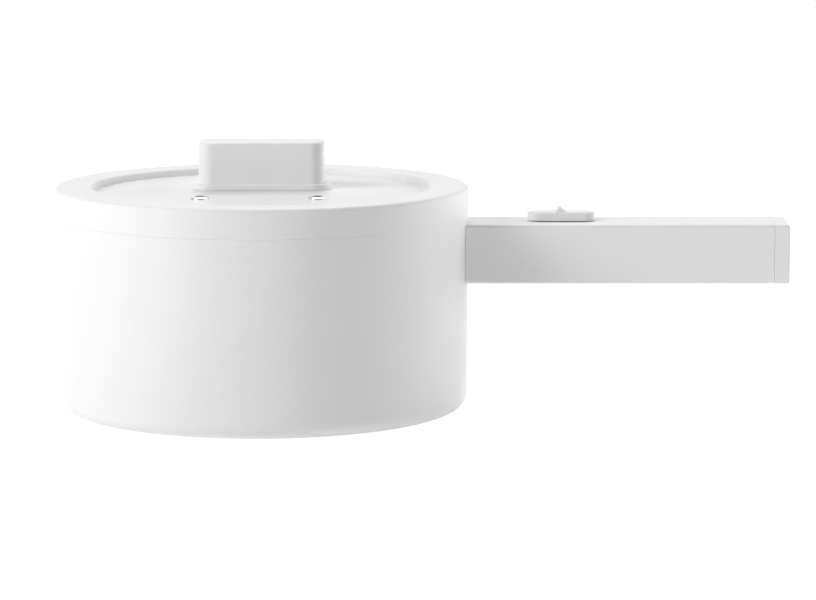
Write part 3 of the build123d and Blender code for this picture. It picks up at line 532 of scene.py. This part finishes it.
def eyelet_mesh(name, seed):
    """A tube with a rolled lip at each end."""
    points = solids_of(name)[0]
    reach = reach_of(points)
    top = max(height for _, height in reach)
    bottom = min(height for _, height in reach)
    bore, rim = min(reach)[0], max(reach)[0]
    barrel = max(radius for radius, _ in reach if radius < rim - STEP)
    under = max(height for radius, height in reach if abs(radius - barrel) < STEP)
    lip, end, centre = top - under, (top - bottom) / 2, (top + bottom) / 2
    throat = bore + BORE_EDGE
    upper = arc(throat, end - BORE_EDGE, BORE_EDGE, BORE_EDGE, 180, 90)
    upper += arc(throat, end - lip, rim - throat, lip, 80, 0) + [(barrel, end - lip)]
    print(f"{name}: bore {2 * bore / MM:.1f} mm, rim {2 * rim / MM:.1f} mm")
    return turned_mesh(plain_lathe, [(*axis_of(points), centre)], both_ends(upper), closed=True,
                       Segments=VENT_STEPS, Seed=seed, Finish=polished_steel)


eyelets = [eyelet_mesh(vent, seed) for seed, vent in enumerate(VENTS)]
set_piece("vent_eyelets", eyelets, "lid", VENTS)

# %% [markdown]
# What makes a vent read as a hole is that it is dark inside. A polished bore would mirror the white
# room, so each eyelet holds a thin dark tube of painted shade: dark plastic that stands in for the
# shade inside the hole. Its ends are flared to fill the rounds of the lips: seen from low down, only
# the top half millimetre of the far wall shows.

# %% Painted shade in the vents
SHADE_LINING_WALL = 0.15 * MM


def painted_shade_mesh(name, seed):
    """A thin dark tube of painted shade that lines an eyelet from end to end."""
    points = solids_of(name)[0]
    reach = reach_of(points)
    top = max(height for _, height in reach)
    bottom = min(height for _, height in reach)
    bore, end, centre = min(reach)[0], (top - bottom) / 2, (top + bottom) / 2
    upper = [(bore - SHADE_LINING_WALL, end)]
    upper += arc(bore + BORE_EDGE, end - BORE_EDGE, BORE_EDGE, BORE_EDGE, 90, 180)
    # The dark finish here is painted shade: it stands in for the shade deep in the hole.
    return turned_mesh(plain_lathe, [(*axis_of(points), centre)], both_ends(upper), closed=True,
                       Segments=VENT_STEPS, Seed=seed, Finish=finishes["dark_plastic"])


# Painted shade: a dark lining in each vent.
shade_linings = [painted_shade_mesh(vent, seed) for seed, vent in enumerate(VENTS)]
set_piece("vent_sleeves", shade_linings, "lid", ())

# %% [markdown]
# The white ring round the lid is the largest turned shape that catches the light on its edges: a
# channel that is open below, with a broad round outside and a small one inside. A mesh that comes
# out of CAD has only a few long triangles across such a round, and a highlight breaks up on them. So
# the same lathe turns the ring again in fine steps. Next to each round stands one more circle of
# points on the flat, which keeps the flat flat where the shading runs over the joint.

# %% Lid ring
RING_STEPS = 256
NEAR = 0.01 * MM
HOLD = 0.4 * MM  # from a round to the extra circle beside it


def ring_mesh(name):
    """The channel of the lid's ring, with its rounds in fine steps."""
    reach = reach_of(max(solids_of(name), key=len))
    outer, inner = max(reach)[0], min(reach)[0]
    top = max(height for _, height in reach)
    bottom = min(height for _, height in reach)
    wall = min(radius for radius, height in reach if height < bottom + NEAR)
    ceiling = min(height for radius, height in reach if radius < inner + NEAR)
    inside = top - max(height for radius, height in reach if radius < inner + NEAR)
    outside = top - max(height for radius, height in reach if radius > outer - NEAR)
    outline = [(wall, bottom), (wall, ceiling), (inner, ceiling), (inner, top - inside - HOLD)]
    outline += arc(inner + inside, top - inside, inside, inside, 180, 90)
    outline += [(inner + inside + HOLD, top), (outer - outside - HOLD, top)]
    outline += arc(outer - outside, top - outside, outside, outside, 90, 0)
    outline += [(outer, top - outside - HOLD), (outer, bottom)]
    print(f"{name}: {2 * outer / MM:.1f} mm across, "
          f"rounds {outside / MM:.1f} and {inside / MM:.1f} mm")
    return turned_mesh(plain_lathe, [(0.0, 0.0, 0.0)], outline, closed=True, Segments=RING_STEPS,
                       Seed=0, Finish=finishes["white_plastic"])


set_piece("lid_border", [ring_mesh("lid_ring")], "lid", ("lid_ring",))

# %% [markdown]
# The studio is a white table that runs off into a white room. The table is one large square. It is
# part of the stage and not of the pot, so it is left out when the pot is measured or exported.

# %% Table
FLOOR_REACH = 8.0
floor_mesh = bpy.data.meshes.new("floor")
floor_mesh.from_pydata(
    [(x * FLOOR_REACH, y * FLOOR_REACH, 0.0) for x, y in ((-1, -1), (1, -1), (1, 1), (-1, 1))],
    [], [(0, 1, 2, 3)],
)
floor = bpy.data.objects.new("floor", floor_mesh)
bpy.context.scene.collection.objects.link(floor)
print(f"table: {2 * FLOOR_REACH:.0f} m wide")

# %% [markdown]
# The camera sees table and room as plain white, yet the table still takes the pot's shadow: its
# paint is part glow, for the rays that come straight from the camera or by way of a reflection, and
# part matte white that the lamps have to light. The glow is a little weaker close to the pot, where
# the lamps make up for it. For the rays that carry light it is weaker still, or it would wash out
# the shading from below. A Light Path node tells the two kinds of rays apart.

# %% Paint of the table
GLOW_NEAR, GLOW_FAR = 0.3, 1.2  # metres from the pot between which the glow grows to full white
TABLE_ROUGHNESS = 0.9


def seen_rays(tree):
    """1 for rays from the camera, or from a mirror or glass, and 0 for rays that carry light."""
    path = tree.nodes.new("ShaderNodeLightPath")
    first = tree.nodes.new("ShaderNodeMath")
    first.operation = "MAXIMUM"
    second = tree.nodes.new("ShaderNodeMath")
    second.operation = "MAXIMUM"
    tree.links.new(path.outputs["Is Camera Ray"], first.inputs[0])
    tree.links.new(path.outputs["Is Glossy Ray"], first.inputs[1])
    tree.links.new(first.outputs["Value"], second.inputs[0])
    tree.links.new(path.outputs["Is Transmission Ray"], second.inputs[1])
    return second.outputs["Value"]


def white_table(name, paint, glow, bounce):
    """Matte white with a glow for the camera and a weaker one, bounce, for the light."""
    material, tree, shader, place = new_finish(name)
    shader.inputs["Base Color"].default_value = (paint, paint, paint, 1.0)
    shader.inputs["Roughness"].default_value = TABLE_ROUGHNESS
    shader.inputs["Specular IOR Level"].default_value = 0.0
    shader.inputs["Emission Color"].default_value = (1.0, 1.0, 1.0, 1.0)
    away = tree.nodes.new("ShaderNodeVectorMath")
    away.operation = "LENGTH"
    tree.links.new(place, away.inputs[0])
    fade = tree.nodes.new("ShaderNodeMapRange")
    fade.inputs["From Min"].default_value = GLOW_NEAR
    fade.inputs["From Max"].default_value = GLOW_FAR
    fade.inputs["To Min"].default_value = glow
    fade.inputs["To Max"].default_value = 1.0
    tree.links.new(away.outputs["Value"], fade.inputs["Value"])
    strength = tree.nodes.new("ShaderNodeMapRange")
    strength.inputs["To Min"].default_value = bounce
    tree.links.new(seen_rays(tree), strength.inputs["Value"])
    tree.links.new(fade.outputs["Result"], strength.inputs["To Max"])
    tree.links.new(strength.outputs["Result"], shader.inputs["Emission Strength"])
    return material


floor_mesh.materials.append(white_table("white_table", paint=0.8, glow=0.88, bounce=0.26))
print(f"paint: {floor_mesh.materials[0].name}")

# %% [markdown]
# The room is the world's background. It is white for the eye and for reflections and gives no light
# of its own, so that all the shading comes from the lamps and the table.

# %% Room
world = bpy.data.worlds.new("white_room")
bpy.context.scene.world = world
world.use_nodes = True
sky = world.node_tree.nodes["Background"]
sky.inputs["Color"].default_value = (1.0, 1.0, 1.0, 1.0)
world.node_tree.links.new(seen_rays(world.node_tree), sky.inputs["Strength"])
print(f"room: {world.name}")

# %% [markdown]
# The light is that of a white studio. A broad soft box on the left, with a weaker one above it,
# models the round body: bright on the left, grey past the middle. Boxes on the right and behind lift
# the far edge of the body and the top of the lid, and a small box near the end of the handle keeps
# its front face light. Nothing comes from straight ahead, which would make the pot look flat.

# %% Lamps
POT_MIDDLE = (0.03, 0.0, 0.06)
HANDLE_END = (0.22, 0.0, 0.07)


def soft_box(name, azimuth, elevation, power, distance=1.4, size=0.6, aim=POT_MIDDLE):
    """A square lamp that faces the pot; azimuth 0 is the camera's side and 90 the handle's."""
    data = bpy.data.lights.new(name, "AREA")
    data.shape = "SQUARE"
    data.size = size
    data.energy = power
    lamp = bpy.data.objects.new(name, data)
    bpy.context.scene.collection.objects.link(lamp)
    turn, rise = math.radians(azimuth), math.radians(elevation)
    flat = math.cos(rise)
    away = Vector((math.sin(turn) * flat, -math.cos(turn) * flat, math.sin(rise)))
    lamp.location = Vector(aim) + away * distance
    lamp.rotation_euler = away.to_track_quat("Z", "Y").to_euler()
    print(f"{name}: {power} W from {distance} m")


soft_box("key_box", azimuth=-60, elevation=30, power=12.2)
soft_box("high_box", azimuth=-52, elevation=55, power=2.8)
soft_box("side_box", azimuth=110, elevation=30, power=5.3)
soft_box("rim_box", azimuth=125, elevation=5, power=5.2)
soft_box("back_box", azimuth=180, elevation=55, power=6.9)
soft_box("handle_box", azimuth=60, elevation=25, power=0.92, distance=0.6, size=0.3, aim=HANDLE_END)

# %% [markdown]
# The camera stands a little above the lid and looks down by eight degrees, with a long lens, from
# about 1.75 m away. It is a little to the right of the pot's axis, so that pot and handle together
# are centred.

# %% Camera
LENS, SENSOR = 169.7, 36.0
CAMERA_PLACE = (0.06642, -1.74125, 0.3014)
LOOK_DOWN = 8.22  # degrees below the horizon
FARTHEST = 50.0  # metres, well past the table's edge
camera_data = bpy.data.cameras.new("camera")
camera_data.sensor_width = SENSOR
camera_data.lens = LENS
camera_data.clip_end = FARTHEST
camera = bpy.data.objects.new("camera", camera_data)
bpy.context.scene.collection.objects.link(camera)
camera.location = CAMERA_PLACE
camera.rotation_euler = (math.radians(90.0 - LOOK_DOWN), 0.0, 0.0)
bpy.context.scene.camera = camera
bpy.context.scene.view_settings.view_transform = "Standard"
print(f"camera: {LENS} mm lens, {LOOK_DOWN} degrees down")
